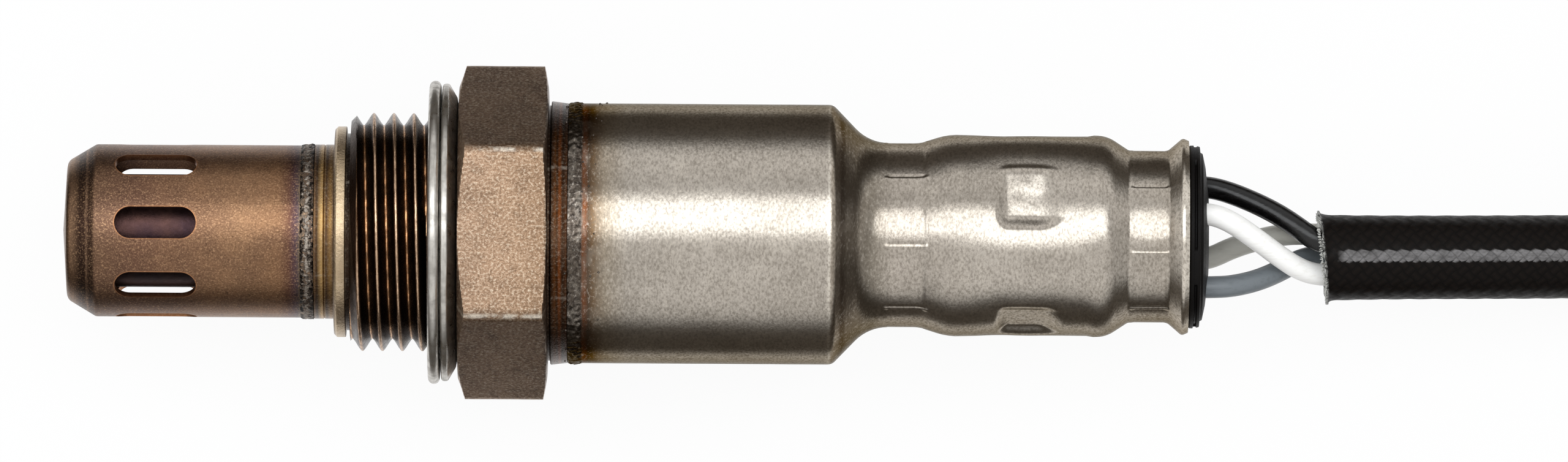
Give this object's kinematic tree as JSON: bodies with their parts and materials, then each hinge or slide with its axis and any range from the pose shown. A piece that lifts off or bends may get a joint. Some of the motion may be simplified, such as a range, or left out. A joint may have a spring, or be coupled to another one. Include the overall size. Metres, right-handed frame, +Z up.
{
  "type": "oxygen sensor",
  "caption": "Planar exhaust oxygen sensor with a slotted tip, hexagonal body, crush gasket, crimped casing, and a sleeved lead that ends in a sealed plug.",
  "frame": {"origin": "on the sensor's axis at the rear end of its thread, where the gasket seats on the boss", "axes": "-X towards the gas tip, +X towards the lead, +Z up from the surface that the sensor lies on, square to one wrench flat"},
  "size_m": [0.2779, 0.0448, 0.0228],
  "materials": {
    "shell_steel": "machined steel, heat tinted tan to bronze, dark in the thread",
    "gasket_steel": "bright rolled steel strip",
    "cover_steel": "stainless sheet heat tinted bronze to purple",
    "inner_cover_steel": "dark heat tinted stainless sheet",
    "zirconia": "fired ceramic",
    "steatite": "unglazed ceramic",
    "talc": "pressed powder",
    "casing_steel": "drawn stainless steel, fine grain round the axis, brown tint near the weld",
    "spring_steel": "bright spring strip",
    "insulator": "unglazed insulator",
    "grommet_rubber": "satin black rubber",
    "wire_black": "glossy black insulation",
    "wire_white": "semi-gloss white insulation",
    "wire_grey": "semi-gloss blue-grey insulation",
    "sleeve_weave": "black woven glass-fibre sleeve, light worn strands",
    "tie_nylon": "black nylon",
    "plug_plastic": "black glass-filled plastic",
    "lock_plastic": "grey plastic",
    "seal_rubber": "orange-brown silicone rubber",
    "contact_metal": "tinned and nickel-plated strip"
  },
  "bodies": {
    "root": {"shell": "shell_steel", "crush_gasket": "gasket_steel", "outer_cover": "cover_steel", "inner_cover": "inner_cover_steel", "sensing_element": "zirconia", "front_ceramic": "steatite", "talc_seal": "talc", "rear_ceramic": "steatite", "crimp_ring": "gasket_steel", "casing": "casing_steel", "holder_half_upper": "steatite", "holder_half_lower": "steatite", "clamp_ring": "spring_steel", "support_bush": "spring_steel", "neck_bush": "insulator", "wire_spacer": "insulator", "grommet": "grommet_rubber", "lead_sleeve": "sleeve_weave", "lead_hank": "sleeve_weave", "lead_tail": "sleeve_weave", "hank_tie": "tie_nylon", "plug_housing": "plug_plastic", "plug_lock": "lock_plastic", "plug_seal": "seal_rubber", "contact_white_front": "contact_metal", "wire_white_front": "wire_white", "tail_wire_white_front": "wire_white", "terminal_white_front": "contact_metal", "wire_seal_white_front": "seal_rubber", "contact_black": "contact_metal", "wire_black": "wire_black", "tail_wire_black": "wire_black", "terminal_black": "contact_metal", "wire_seal_black": "seal_rubber", "contact_white_back": "contact_metal", "wire_white_back": "wire_white", "tail_wire_white_back": "wire_white", "terminal_white_back": "contact_metal", "wire_seal_white_back": "seal_rubber", "contact_grey": "contact_metal", "wire_grey": "wire_grey", "tail_wire_grey": "wire_grey", "terminal_grey": "contact_metal", "wire_seal_grey": "seal_rubber"}
  },
  "joints": []
}
